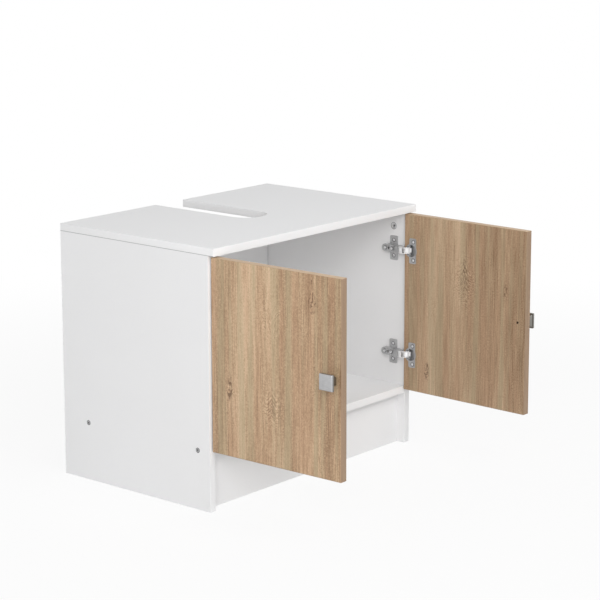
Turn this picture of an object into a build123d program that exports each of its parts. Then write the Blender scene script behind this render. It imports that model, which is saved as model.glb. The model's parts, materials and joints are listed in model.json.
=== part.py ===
from build123d import *
import os
from math import asin, atan2, cos, degrees, hypot, pi, radians, sin, sqrt

# Sink base cabinet with two doors on small concealed hinges, standing open.
# Millimetres, +Z up. The front faces -Y, and +X is to the right as seen from the front.
#
# The pieces are drawn with X = 0 on the cabinet's centre line, Y = 0 at the front edge of the
# side panels and Z = 0 on the floor. At the end all of them are shifted along Y, so that the
# origin lies under the middle of the box round the open cabinet.
#
# The left half is drawn and the right half is its mirror image.

# ------------------------------------------------------------------ carcass
width = 605.0                # over the two side panels
height = 500.0               # floor to the upper face of the top panel
side_depth = 386.0           # front edge to back edge of a side panel
board = 15.0                 # thickness of every carcass board
edge_round = 0.4             # rounding of the carcass boards' edges
top_overhang = 14.0          # top panel ahead of the side panels
cutout_width = 80.5          # U-shaped cut-out from the back edge of the top panel
cutout_reach = 250.0         # back edge to the round end of the cut-out
cutout_radius = 38.0         # its two inner corners
bottom_lift = 107.0          # floor to the underside of the bottom panel
plinth_setback = 19.0        # front of the plinth behind the front of the bottom panel
plinth_gap = 0.5             # plinth to the underside of the bottom panel
rail_height = 100.0          # back rail
rail_lift = 300.0            # floor to the back rail

# ------------------------------------------------------------------ carcass joints
cam_radius = 7.4
cam_depth = 12.2
cam_inset = 32.5             # cam centre from the board edge that it pulls up
cam_front = 31.0             # top cams from the front and the back edge of the side panel
cam_slot = 7.2               # opening in the cam for the head of its bolt
cam_recess = 0.3             # cam face below the board's face
cam_dish_radius = 5.2        # shallow dish in the cam's face
cam_dish_floor = 3.4
cam_dish = 0.9
cam_cross = 6.0              # cross recess for the screwdriver
cam_cross_width = 1.7
cam_cross_depth = 2.7
bolt_radius = 3.0
bolt_neck_radius = 1.8
bolt_head_radius = 3.2
bolt_neck = 6.0              # length of the neck, ahead of the head
bolt_anchor = 11.0           # length of the bolt in the other board
bolt_bore = 4.0              # radius of the bolt's bore in the cam board
dowel_radius = 4.0
dowel_shallow = 10.0         # length in the board's face
dowel_deep = 20.0            # length in the board's edge
dowel_chamfer = 1.0
screw_head_radius = 5.0      # connecting screws through the side panels
screw_head = 1.5
screw_cone = 2.5
screw_neck_radius = 3.5
screw_thread_radius = 3.1
screw_length = 50.0
hex_socket = 4.0             # across flats
hex_depth = 3.0
screw_front = 30.2           # connecting screws from the front edge
screw_rear = 67.0            # and from the back edge of the side panel
dowel_mid = 190.0            # middle dowel of the bottom panel from the front edge
top_dowel = 95.0             # top dowels from the front and the back edge
plinth_dowel_low = 30.0      # plinth dowels above the floor
plinth_dowel_high = 74.0
rail_cam_lift = 32.0         # rail cam above the lower edge of the rail
rail_dowel_lift = 68.0
fit = 0.05                   # radial clearance of a fastener in its bore
bore_end = 0.3               # a blind bore is this much deeper than what fills it

# ------------------------------------------------------------------ doors
door_thickness = 15.0
door_reveal = 0.82           # closed door's hinge edge inside the side panel's outer face
doors_gap = 2.4              # between the two closed doors
door_gap = 2.18              # closed door ahead of the side panels
door_top_gap = 2.6           # under the top panel
door_lap = 6.0               # over the front edge of the bottom panel
door_round = 0.8             # rounding of the door's edges
door_angle = 88.9            # how far both doors stand open
knob_inset = 18.8            # knob centre from the free edge
knob_size = 30.0
knob_reach = 22.0            # knob face from the door face
knob_plate = 6.5             # thickness of the square plate
knob_bevel = 2.2
knob_taper = 4.0
knob_neck_size = 16.0
knob_foot_radius = 7.5
knob_foot = 1.5
knob_screw_radius = 2.0
knob_screw_depth = 9.0       # thread in the knob
knob_head_radius = 2.6
knob_head = 2.4
knob_head_sink = 5.0         # head below the door's inner face

# ------------------------------------------------------------------ concealed hinges
# Pivots are given in plan. Arm pivots: distance in from the side panel's outer face, and
# distance behind its front edge. Cup pivots: distance from the door's hinge edge, and depth
# below its inner face.
hinge_inset = 75.0           # hinge centres from the upper and lower door edge
outer_arm_pivot = (29.5, 7.15)
outer_cup_pivot = (9.95, 1.09)
inner_arm_pivot = (21.4, 0.7)
inner_cup_pivot = (9.66, 4.88)
outer_link_turn = 0.385      # degrees that the outer link turns for each degree of the door
inner_link_turn = 0.35       # the same for the inner link
pin_radius = 1.25
pin_running = 0.05           # clearance round a pin that turns
eye_radius = 2.1
cheek_low = 5.0              # outer link: two cheeks, from this height off the middle plane
cheek_high = 6.2             # to this one
cheek_half_width = 1.2
outer_bulge = 5.0            # rise of the outer link's arc over its chord
outer_web = 1.1              # web that joins the cheeks, along part of the arc
outer_web_from = 0.10
outer_web_to = 0.38
inner_half_height = 4.7
inner_half_width = 0.8
inner_bulge = 5.8
slot_start = -0.1            # the open pivot: slotted eye for the cup pin, along the link
slot_end = 1.05
slot_offset = -0.22          # and across it
slot_radius = 1.85
slot_wall = 0.8
cup_centre = 17.0            # from the door's hinge edge
cup_radius = 13.0
cup_wall = 0.7
cup_depth = 11.0
cup_floor = 0.8
flange = 1.2
flange_from = 12.5           # the flange's band, measured from the door's hinge edge
flange_to = 29.5
flange_half_height = 26.0
flange_round = 3.0
rim_radius = 14.2            # the flange's round part about the cup
cup_screw_line = 23.0        # from the door's hinge edge
cup_screw_spacing = 38.0
wood_screw_radius = 1.75
wood_screw_length = 13.0
wood_screw_head = 3.4
wood_screw_cone = 1.5
plate_front = 19.5           # mounting plate behind the side panel's front edge
plate_length = 19.0
plate_half_height = 25.2
plate_thickness = 1.8
plate_round = 2.5
plate_screw_line = 29.0
plate_screw_spacing = 32.0
ridge_rear = 51.0
ridge_height = 9.5
ridge_play = 0.2             # ridge to the walls of the arm
arm_rear = 53.0
arm_sheet = 1.2
arm_play = 0.2               # cheeks to the walls of the arm
arm_lift = 2.3               # lower edge of the arm's walls above the side panel
arm_high = 18.6              # crest of the arm above the side panel
arm_crest_front = 4.8        # crest, behind the side panel's front edge
arm_crest_rear = 13.0
arm_ramp_rear = 24.0
arm_nose_radius = 2.2
fixing_screw_line = 44.0
adjusting_screw_line = 27.6
slot_line = 35.5             # empty slot in the arm between the two screws
arm_slot_length = 6.0
arm_slot_width = 3.4
slot_pocket = 6.0            # depth of the ridge's pocket under the slot
machine_radius = 2.0
machine_head_radius = 3.4
machine_head = 1.6
machine_reach = 7.0          # screw below the arm's sheet
recess_width = 0.9           # cross recess of the small screws
recess_share = 1.4           # length of the recess over the head's radius
recess_depth = 1.1

# ------------------------------------------------------------------ derived sizes
half = width / 2
inner_face = half - board
side_height = height - board
bottom_top = bottom_lift + board
plinth_top = bottom_lift - plinth_gap
door_low = bottom_top - door_lap
door_high = side_height - door_top_gap
door_width = (width - 2 * door_reveal - doors_gap) / 2
hinge_levels = {"upper": door_high - hinge_inset, "lower": door_low + hinge_inset}
knob_level = (door_low + door_high) / 2
knob_along = door_width - knob_inset
arm_half_width = cheek_high + arm_play + arm_sheet
ridge_half_width = arm_half_width - arm_sheet - ridge_play


# ------------------------------------------------------------------ general helpers
def block(x, y, z):
    """A box between the limits x = (low, high), y = (low, high) and z = (low, high)."""
    limits = (x, y, z)
    centre = [(low + high) / 2 for low, high in limits]
    return Pos(*centre) * Box(*[high - low for low, high in limits])


def bar(radius, start, end):
    """A round bar from the point start to the point end."""
    start, end = Vector(*start), Vector(*end)
    along = end - start
    seat = (Align.CENTER, Align.CENTER, Align.MIN)
    return Plane(origin=start, z_dir=along) * Cylinder(radius, along.length, align=seat)


def cone(radius_start, radius_end, start, end):
    """A round cone that runs from radius_start at start to radius_end at end."""
    start, end = Vector(*start), Vector(*end)
    along = end - start
    seat = (Align.CENTER, Align.CENTER, Align.MIN)
    solid = Cone(radius_start, radius_end, along.length, align=seat)
    return Plane(origin=start, z_dir=along) * solid


def ahead(start, direction, distance):
    """The point at a distance from start along a unit direction."""
    return tuple(s + distance * d for s, d in zip(start, direction))


def mirrored(shape):
    """The right-hand twin of a left-hand piece."""
    return mirror(shape, about=Plane.YZ)


def both(shapes):
    """Left-hand shapes and their right-hand twins."""
    return list(shapes) + [mirrored(shape) for shape in shapes]


def turned(point, angle):
    """A plan point turned about the origin, angle in degrees, anticlockwise from above."""
    c, s = cos(radians(angle)), sin(radians(angle))
    return (c * point[0] - s * point[1], s * point[0] + c * point[1])


# ------------------------------------------------------------------ fasteners
def cam_joint(face_point, outward, pull):
    """A cam lock in a board's face and its bolt, which enters the next board along pull.

    Returns the cam, the bolt, the cutters of the cam's board and the cutter of the next board.
    """
    depth_at = ahead(face_point, outward, -board / 2)
    cam_face = ahead(face_point, outward, -cam_recess)
    cam_back = ahead(cam_face, outward, -cam_depth)
    cam = bar(cam_radius, cam_face, cam_back)
    head_reach = bolt_head_radius + fit
    slot_half = cam_slot / 2
    slot = Plane(origin=depth_at, x_dir=pull, z_dir=outward) * Box(
        2 * cam_radius, cam_slot, cam_slot, align=(Align.MIN, Align.CENTER, Align.CENTER)
    )
    cam = cam - slot - bar(slot_half, ahead(depth_at, pull, -head_reach), ahead(depth_at, pull, cam_radius))
    dish_floor = ahead(cam_face, outward, -cam_dish)
    cam = cam - cone(cam_dish_radius, cam_dish_floor, cam_face, dish_floor)
    frame = Plane(origin=cam_face, x_dir=pull, z_dir=outward)
    for length, across in ((cam_cross, cam_cross_width), (cam_cross_width, cam_cross)):
        cam = cam - frame * Box(length, across, 2 * cam_cross_depth)

    edge = ahead(depth_at, pull, cam_inset)
    head_end = ahead(depth_at, pull, bolt_head_radius)
    neck_end = ahead(head_end, pull, bolt_neck)
    bolt = bar(bolt_head_radius, ahead(depth_at, pull, -bolt_head_radius + fit), head_end)
    bolt = bolt + bar(bolt_neck_radius, head_end, neck_end)
    bolt = bolt + bar(bolt_radius, neck_end, ahead(edge, pull, bolt_anchor))

    own = [
        bar(cam_radius + fit, ahead(face_point, outward, bore_end), ahead(cam_back, outward, -bore_end)),
        bar(bolt_bore, depth_at, ahead(edge, pull, bore_end)),
    ]
    other = bar(bolt_radius + fit, ahead(edge, pull, -bore_end), ahead(edge, pull, bolt_anchor + bore_end))
    return cam, bolt, own, other


def dowel_joint(seam, into_face):
    """A dowel across a seam: shallow in the board whose face it enters, deep in the other."""
    shallow_end = ahead(seam, into_face, dowel_shallow)
    deep_end = ahead(seam, into_face, -dowel_deep)
    pin = bar(dowel_radius, deep_end, shallow_end)
    pin = chamfer(pin.edges().filter_by(GeomType.CIRCLE), dowel_chamfer)
    face_bore = bar(dowel_radius + fit, seam, ahead(shallow_end, into_face, bore_end))
    edge_bore = bar(dowel_radius + fit, seam, ahead(deep_end, into_face, -bore_end))
    return pin, face_bore, edge_bore


def connecting_screw(y, z):
    """A countersunk screw with a hexagon socket, through the left side panel.

    Returns the screw, the cutters of the side panel and the cutter of the bottom panel.
    """
    x_out = -half
    x_head = x_out + screw_head
    x_cone = x_head + screw_cone
    x_in = -inner_face
    x_end = x_out + screw_length
    screw = bar(screw_head_radius, (x_out, y, z), (x_head, y, z))
    screw = screw + cone(screw_head_radius, screw_neck_radius, (x_head, y, z), (x_cone, y, z))
    screw = screw + bar(screw_neck_radius, (x_cone, y, z), (x_in, y, z))
    screw = screw + bar(screw_thread_radius, (x_in, y, z), (x_end, y, z))
    socket = extrude(RegularPolygon(hex_socket / 2, 6, major_radius=False), hex_depth)
    screw = screw - Plane(origin=(x_out, y, z), z_dir=(1, 0, 0)) * socket
    side = [
        bar(screw_head_radius + fit, (x_out, y, z), (x_head, y, z)),
        cone(screw_head_radius + fit, screw_neck_radius + fit, (x_head, y, z), (x_cone, y, z)),
        bar(screw_neck_radius + fit, (x_cone, y, z), (x_in, y, z)),
    ]
    bottom = bar(screw_thread_radius + fit, (x_in, y, z), (x_end + bore_end, y, z))
    return screw, side, bottom


def cross_recess(face_point, inward, head_radius, depth):
    """The cross-shaped recess in the head of a small screw."""
    frame = Plane(origin=face_point, z_dir=inward)
    length = head_radius * recess_share
    return [
        frame * Box(length, recess_width, 2 * depth),
        frame * Box(recess_width, length, 2 * depth),
    ]


def wood_screw(head_point, inward):
    """A countersunk wood screw, and the cutter of its pilot hole in the wood."""
    neck = ahead(head_point, inward, wood_screw_cone)
    tip = ahead(head_point, inward, wood_screw_length)
    screw = cone(wood_screw_head, wood_screw_radius, head_point, neck)
    screw = screw + bar(wood_screw_radius, neck, tip)
    screw = screw - cross_recess(head_point, inward, wood_screw_head, recess_depth)
    pilot = bar(wood_screw_radius + fit, head_point, ahead(tip, inward, bore_end))
    return screw, pilot


def countersink(head_point, inward):
    """The cutter of a countersunk hole for a wood screw in a metal plate."""
    neck = ahead(head_point, inward, wood_screw_cone)
    sink = cone(wood_screw_head + fit, wood_screw_radius + fit, head_point, neck)
    return sink + bar(wood_screw_radius + fit, neck, ahead(neck, inward, 2 * plate_thickness))


# ------------------------------------------------------------------ carcass
def rounded(panel):
    """A carcass board with all its edges slightly rounded."""
    return fillet(panel.edges(), edge_round)


def carcass():
    """The boards, and what joins them, as a dictionary of node name to solids."""
    span = (-inner_face, inner_face)
    side = rounded(block((-half, -inner_face), (0, side_depth), (0, side_height)))
    top = block((-half, half), (-top_overhang, side_depth), (side_height, height))
    bottom = rounded(block(span, (0, side_depth), (bottom_lift, bottom_top)))
    plinth_y = (plinth_setback, plinth_setback + board)
    plinth = rounded(block(span, plinth_y, (0, plinth_top)))
    rail_y = (side_depth - board, side_depth)
    rail = rounded(block(span, rail_y, (rail_lift, rail_lift + rail_height)))

    cutout_tip = side_depth - cutout_reach
    cutout = block(
        (-cutout_width / 2, cutout_width / 2), (cutout_tip, side_depth + board), (side_height, height)
    )
    tip_edges = cutout.edges().filter_by(Axis.Z).group_by(Axis.Y)[0]
    top = rounded(top - fillet(tip_edges, cutout_radius))

    side_mid = -half + board / 2
    bottom_mid = bottom_lift + board / 2
    plinth_mid = plinth_setback + board / 2
    rail_mid = side_depth - board / 2
    right, left, up, back = (1, 0, 0), (-1, 0, 0), (0, 0, 1), (0, 1, 0)
    cams, bolts, dowels, screws = [], [], [], []
    side_cuts, top_cuts, bottom_cuts, plinth_cuts, rail_cuts = [], [], [], [], []

    for y in (cam_front, side_depth - cam_front):
        joint = cam_joint((-inner_face, y, side_height - cam_inset), right, up)
        cams.append(joint[0])
        bolts.append(joint[1])
        side_cuts += joint[2]
        top_cuts.append(joint[3])
    for y in (top_dowel, side_depth - top_dowel):
        dowel, face_bore, edge_bore = dowel_joint((side_mid, y, side_height), up)
        dowels.append(dowel)
        top_cuts.append(face_bore)
        side_cuts.append(edge_bore)

    for y in (screw_front, side_depth - screw_rear):
        screw, through, thread = connecting_screw(y, bottom_mid)
        screws.append(screw)
        side_cuts += through
        bottom_cuts.append(thread)
    seams = [((-inner_face, dowel_mid, bottom_mid), bottom_cuts)]
    seams += [((-inner_face, plinth_mid, z), plinth_cuts) for z in (plinth_dowel_low, plinth_dowel_high)]
    seams.append(((-inner_face, rail_mid, rail_lift + rail_dowel_lift), rail_cuts))
    for seam, board_cuts in seams:
        dowel, face_bore, edge_bore = dowel_joint(seam, left)
        dowels.append(dowel)
        side_cuts.append(face_bore)
        board_cuts.append(edge_bore)

    rail_cam_at = (-inner_face + cam_inset, side_depth, rail_lift + rail_cam_lift)
    rail_cam, rail_bolt, own, other = cam_joint(rail_cam_at, back, left)
    rail_cuts += own
    side_cuts.append(other)

    side = side - side_cuts
    return {
        "top_panel": [top - both(top_cuts)],
        "left_side_panel": [side],
        "right_side_panel": [mirrored(side)],
        "bottom_panel": [bottom - both(bottom_cuts)],
        "plinth_panel": [plinth - both(plinth_cuts)],
        "back_rail": [rail - both(rail_cuts)],
        "top_cam_locks": both(cams),
        "top_cam_bolts": both(bolts),
        "rail_cam_locks": both([rail_cam]),
        "rail_cam_bolts": both([rail_bolt]),
        "wood_dowels": both(dowels),
        "connecting_screws": both(screws),
    }


# ------------------------------------------------------------------ hinge motion, in plan
def chord(start, end):
    """The length and the direction in degrees of the line from start to end."""
    return hypot(end[0] - start[0], end[1] - start[1]), degrees(atan2(end[1] - start[1], end[0] - start[0]))


def plan_point(pivot):
    """A point given from the left side panel's outer face, as model X and Y."""
    return (pivot[0] - half, pivot[1])


outer_a = plan_point(outer_arm_pivot)
inner_a = plan_point(inner_arm_pivot)
closed_corner = plan_point((door_reveal, -door_gap))
closed_outer_b = (closed_corner[0] + outer_cup_pivot[0], closed_corner[1] - outer_cup_pivot[1])
outer_length, outer_closed = chord(outer_a, closed_outer_b)
outer_open = outer_closed + outer_link_turn * door_angle
outer_reach = turned((outer_length, 0), outer_open)
outer_b = (outer_a[0] + outer_reach[0], outer_a[1] + outer_reach[1])


def on_open_door(along, depth):
    """The plan point at a distance along the open left door and a depth below its inner face."""
    offset = turned((along - outer_cup_pivot[0], outer_cup_pivot[1] - depth), -door_angle)
    return (outer_b[0] + offset[0], outer_b[1] + offset[1])


door_corner = on_open_door(0, 0)
inner_b = on_open_door(*inner_cup_pivot)


def hang_door(shape):
    """Moves a piece from the door's own frame to the open left door.

    The door's own frame has X along its width from the hinge edge, -Y into its thickness and
    heights as in the cabinet.
    """
    return Pos(door_corner[0], door_corner[1], 0) * Rot(0, 0, -door_angle) * shape


# ------------------------------------------------------------------ hinge pieces
def arc_strip(start, end, bulge, half_width, share=(0.0, 1.0), edge=None):
    """A curved strip in plan from start to end, with a round arc that rises by bulge to the left.

    share keeps only a part of the arc's length, and edge keeps only that much of its width,
    measured in from the outside of the bend.
    """
    length, direction = chord(start, end)
    radius = (length * length / 4 + bulge * bulge) / (2 * bulge)
    centre = turned((length / 2, bulge - radius), direction)
    centre = (start[0] + centre[0], start[1] + centre[1])
    sweep = chord(centre, end)[1] - chord(centre, start)[1]
    sweep = (sweep + 180) % 360 - 180
    if bulge > length / 2:
        sweep += 360 if sweep > 0 else -360
    first = chord(centre, start)[1]
    outside = radius + half_width
    inside = radius - half_width if edge is None else outside - edge

    def at(distance, part):
        offset = turned((distance, 0), first + sweep * part)
        return (centre[0] + offset[0], centre[1] + offset[1])

    low, high = share
    middle = (low + high) / 2
    outline = [
        ThreePointArc(at(outside, low), at(outside, middle), at(outside, high)),
        Line(at(outside, high), at(inside, high)),
        ThreePointArc(at(inside, high), at(inside, middle), at(inside, low)),
        Line(at(inside, low), at(outside, low)),
    ]
    return make_face(outline)


def disc(centre, radius):
    """A round face in plan."""
    return Pos(*centre) * Circle(radius)


def slab(face, low, high):
    """A plan face as a solid between two heights."""
    return Pos(0, 0, low) * extrude(face, high - low, dir=(0, 0, 1))


def outer_link(level):
    """Two curved cheeks with an eye at each end, joined by a web near the arm."""
    cheek = arc_strip(outer_a, outer_b, outer_bulge, cheek_half_width)
    cheek = cheek + disc(outer_a, eye_radius) + disc(outer_b, eye_radius)
    cheek = cheek - disc(outer_a, pin_radius + pin_running) - disc(outer_b, pin_radius + pin_running)
    share = (outer_web_from, outer_web_to)
    web = arc_strip(outer_a, outer_b, outer_bulge, cheek_half_width, share, outer_web)
    return (
        slab(cheek, level + cheek_low, level + cheek_high)
        + slab(cheek, level - cheek_high, level - cheek_low)
        + slab(web, level - cheek_high, level + cheek_high)
    )


def inner_link(level):
    """A curved strip with a round eye on the arm's pin and a slotted eye round the cup's pin."""
    direction = chord(inner_a, inner_b)[1]
    slot_at = turned(((slot_start + slot_end) / 2, slot_offset), direction)
    slot_place = Pos(inner_b[0] + slot_at[0], inner_b[1] + slot_at[1]) * Rot(0, 0, direction)
    travel = slot_end - slot_start
    strip = arc_strip(inner_a, inner_b, inner_bulge, inner_half_width)
    strip = strip + disc(inner_a, eye_radius)
    strip = strip + slot_place * SlotCenterToCenter(travel, 2 * (slot_radius + slot_wall))
    strip = strip - disc(inner_a, pin_radius + pin_running)
    strip = strip - slot_place * SlotCenterToCenter(travel, 2 * slot_radius)
    return slab(strip, level - inner_half_height, level + inner_half_height)


def arm_pins(level):
    """The two pins that the arm holds."""
    low, high = level - arm_half_width, level + arm_half_width
    return [bar(pin_radius, (*pivot, low), (*pivot, high)) for pivot in (outer_a, inner_a)]


def arm_slot(x_from, level, height):
    """The cutter of the arm's empty slot, from a height over the side panel on."""
    face = Plane(origin=(x_from, slot_line, level), x_dir=(0, 0, 1), z_dir=(1, 0, 0))
    return face * extrude(SlotOverall(arm_slot_length, arm_slot_width), height)


def hinge_arm(level):
    """A pressed channel: two walls with the pivots and a sheet over them, round at the rear."""
    x_panel = -inner_face
    x_low, x_crest = x_panel + arm_lift, x_panel + arm_high
    x_rear = x_panel + ridge_height + arm_sheet
    corner = Polyline(
        (x_low, arm_rear),
        (x_rear, arm_rear),
        (x_rear, arm_ramp_rear),
        (x_crest, arm_crest_rear),
        (x_crest, arm_crest_front),
        (outer_a[0], outer_a[1]),
        (inner_a[0], inner_a[1]),
        (x_low, arm_crest_rear),
        close=True,
    )
    outline = make_face(corner)
    noses = disc(outer_a, arm_nose_radius) + disc(inner_a, arm_nose_radius)
    lower = Polyline(
        (x_low, arm_crest_rear), (outer_a[0], arm_crest_rear), outer_a, inner_a, close=True
    )
    nose = make_hull((noses + make_face(lower)).edges())
    outline = outline + nose
    solid = slab(outline, level - arm_half_width, level + arm_half_width)

    room_rear, room_crest = x_rear - arm_sheet, x_crest - arm_sheet
    room = Polyline(
        (x_panel, arm_rear + board),
        (room_rear, arm_rear + board),
        (room_rear, arm_ramp_rear),
        (room_crest, arm_crest_rear),
        (room_crest, -board),
        (x_panel, -board),
        close=True,
    )
    inside = arm_half_width - arm_sheet
    solid = solid - slab(make_face(room), level - inside, level + inside)

    face = Plane(origin=(x_panel, arm_rear - arm_half_width, level), x_dir=(0, 1, 0), z_dir=(1, 0, 0))
    round_end = Circle(arm_half_width) + Pos(-arm_rear, 0) * Rectangle(2 * arm_rear, 2 * arm_half_width)
    solid = solid & face * extrude(round_end, 2 * arm_high)

    sheet_top = x_rear + bore_end
    for y in (fixing_screw_line, adjusting_screw_line):
        solid = solid - bar(machine_radius + fit, (x_panel, y, level), (sheet_top, y, level))
    solid = solid - arm_slot(x_panel, level, 2 * arm_high)
    for pivot in (outer_a, inner_a):
        solid = solid - bar(pin_radius, (*pivot, level - arm_half_width), (*pivot, level + arm_half_width))
    return solid


def machine_screws(level):
    """The arm's fixing screw and its side-adjusting screw, through the sheet into the ridge."""
    x_sheet = -inner_face + ridge_height + arm_sheet
    screws = []
    for y in (fixing_screw_line, adjusting_screw_line):
        head = (x_sheet + machine_head, y, level)
        screw = bar(machine_head_radius, (x_sheet, y, level), head)
        screw = chamfer(screw.edges().group_by(Axis.X)[-1], recess_width / 2)
        screw = screw + bar(machine_radius, (x_sheet, y, level), (x_sheet - arm_sheet - machine_reach, y, level))
        screws.append(screw - cross_recess(head, (-1, 0, 0), machine_head_radius, recess_depth))
    return screws


def mounting_plate(level):
    """A cross-shaped plate: two screwed wings and a ridge that the arm sits on."""
    x_panel = -inner_face
    wings = block(
        (x_panel, x_panel + plate_thickness),
        (plate_front, plate_front + plate_length),
        (level - plate_half_height, level + plate_half_height),
    )
    wings = fillet(wings.edges().filter_by(Axis.X), plate_round)
    ridge = block(
        (x_panel, x_panel + ridge_height),
        (plate_front, ridge_rear),
        (level - ridge_half_width, level + ridge_half_width),
    )
    ridge = fillet(ridge.edges().filter_by(Axis.X), plate_round)
    plate = wings + ridge
    screws, pilots = [], []
    for side in (-1, 1):
        head = (x_panel + plate_thickness, plate_screw_line, level + side * plate_screw_spacing / 2)
        screw, pilot = wood_screw(head, (-1, 0, 0))
        screws.append(screw)
        pilots.append(pilot)
        plate = plate - countersink(head, (-1, 0, 0))
    plate = plate - arm_slot(x_panel + ridge_height - slot_pocket, level, 2 * slot_pocket)
    reach = arm_sheet + machine_reach + bore_end
    for y in (fixing_screw_line, adjusting_screw_line):
        x_sheet = x_panel + ridge_height + arm_sheet
        plate = plate - bar(machine_radius + fit, (x_sheet, y, level), (x_sheet - reach, y, level))
    return plate, screws, pilots


def hinge_cup(level):
    """A pressed cup with its flange, in the door's own frame, open to +Y.

    Returns the cup, its two screws and its pins, and the cutters of the door.
    """
    centre = (cup_centre, 0, level)
    upright = Plane(origin=(0, 0, 0), x_dir=(1, 0, 0), z_dir=(0, -1, 0))
    rim = Pos(cup_centre, level) * Circle(rim_radius)
    band_width = flange_to - flange_from
    band = Pos((flange_from + flange_to) / 2, level) * RectangleRounded(
        band_width, 2 * flange_half_height, flange_round
    )
    flange_plate = Plane.XZ * extrude(rim + band, -flange)
    shell = bar(cup_radius, (cup_centre, 0, level), (cup_centre, -cup_depth, level))
    hollow = bar(
        cup_radius - cup_wall,
        (cup_centre, flange, level),
        (cup_centre, cup_floor - cup_depth, level),
    )
    cup = flange_plate + shell - hollow
    screws, cuts = [], []
    for side in (-1, 1):
        head = (cup_screw_line, flange + bore_end, level + side * cup_screw_spacing / 2)
        screw, pilot = wood_screw(head, (0, -1, 0))
        screws.append(screw)
        cuts.append(pilot)
        cup = cup - countersink(head, (0, -1, 0))
    bore_depth = cup_depth + bore_end
    cuts.append(bar(cup_radius + fit, (cup_centre, 0, level), (cup_centre, -bore_depth, level)))

    grip = bar(cup_radius - cup_wall / 2, (cup_centre, flange, level), (cup_centre, -cup_depth, level))
    along, depth = inner_cup_pivot
    pins = [grip & bar(pin_radius, (along, -depth, level - cup_radius), (along, -depth, level + cup_radius))]
    along, depth = outer_cup_pivot
    for side in (-1, 1):
        start = (along, -depth, level + side * (cheek_low - arm_play / 2))
        pins.append(grip & bar(pin_radius, start, (along, -depth, level + side * cup_radius)))
    return cup - pins, screws, pins, cuts


# ------------------------------------------------------------------ doors
def knob(level):
    """A bevelled square plate on a tapered neck, in the door's own frame."""
    face = -door_thickness - knob_reach
    plate_back = face + knob_plate
    taper_back = plate_back + knob_taper
    span = (knob_along - knob_size / 2, knob_along + knob_size / 2)
    rise = (level - knob_size / 2, level + knob_size / 2)
    plate = block(span, (face, plate_back), rise)
    plate = chamfer(plate.faces().sort_by(Axis.Y)[0].edges(), knob_bevel)

    def square(y, size):
        return Plane(origin=(knob_along, y, level), x_dir=(1, 0, 0), z_dir=(0, -1, 0)) * Rectangle(size, size)

    taper = loft([square(taper_back, knob_neck_size), square(plate_back, knob_size - 2 * knob_bevel)])
    neck_span = (knob_along - knob_neck_size / 2, knob_along + knob_neck_size / 2)
    neck = block(
        neck_span, (taper_back, -door_thickness), (level - knob_neck_size / 2, level + knob_neck_size / 2)
    )
    foot = bar(knob_foot_radius, (knob_along, -door_thickness - knob_foot, level), (knob_along, -door_thickness, level))
    hole = bar(
        knob_screw_radius + fit,
        (knob_along, -door_thickness, level),
        (knob_along, -door_thickness - knob_screw_depth - bore_end, level),
    )
    return plate + taper + neck + foot - hole


def knob_screw(level):
    """The knob's screw, sunk below the door's inner face, and its cutter of the door."""
    face, head = (knob_along, 0, level), (knob_along, -knob_head_sink, level)
    head_end = ahead(head, (0, -1, 0), knob_head)
    tip = (knob_along, -door_thickness - knob_screw_depth, level)
    screw = bar(knob_head_radius, head, head_end) + bar(knob_screw_radius, head_end, tip)
    screw = screw - cross_recess(head, (0, -1, 0), knob_head_radius, recess_depth)
    cut = bar(knob_head_radius + fit, face, head_end) + bar(knob_screw_radius + fit, head_end, tip)
    return screw, cut


def door_pieces():
    """The left door and all that is fixed to it, hung open."""
    leaf = block((0, door_width), (-door_thickness, 0), (door_low, door_high))
    leaf = fillet(leaf.edges(), door_round)
    pieces = {}
    screws, pins = [], []
    for name, level in hinge_levels.items():
        cup, cup_screws, cup_pins, cuts = hinge_cup(level)
        pieces[name + "_hinge_cup"] = [cup]
        screws += cup_screws
        pins += cup_pins
        leaf = leaf - cuts
    screw, cut = knob_screw(knob_level)
    pieces["door"] = [leaf - cut]
    pieces["cup_screws"] = screws
    pieces["cup_pins"] = pins
    pieces["knob"] = [knob(knob_level)]
    pieces["knob_screw"] = [screw]
    return {name: [hang_door(solid) for solid in solids] for name, solids in pieces.items()}


# ------------------------------------------------------------------ assembly
def hinge_pieces():
    """The pieces of the left hinges that aren't on the door, and the side panel's pilot holes."""
    pieces, shared, pilots = {}, {"plate_screws": [], "arm_pins": [], "arm_screws": []}, []
    for name, level in hinge_levels.items():
        plate, screws, holes = mounting_plate(level)
        pieces[name + "_mounting_plate"] = [plate]
        pieces[name + "_hinge_arm"] = [hinge_arm(level)]
        pieces[name + "_outer_link"] = [outer_link(level)]
        pieces[name + "_inner_link"] = [inner_link(level)]
        shared["plate_screws"] += screws
        shared["arm_pins"] += arm_pins(level)
        shared["arm_screws"] += machine_screws(level)
        pilots += holes
    return pieces, shared, pilots


def assemble():
    """Every node's solids, in the drawing frame."""
    nodes = carcass()
    own, shared, pilots = hinge_pieces()
    panel = nodes["left_side_panel"][0] - pilots
    nodes["left_side_panel"] = [panel]
    nodes["right_side_panel"] = [mirrored(panel)]
    for name, solids in shared.items():
        nodes[name] = both(solids)
    own.update(door_pieces())
    for name, solids in own.items():
        nodes["left_" + name] = solids
        nodes["right_" + name] = [mirrored(solid) for solid in solids]
    return nodes


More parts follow.
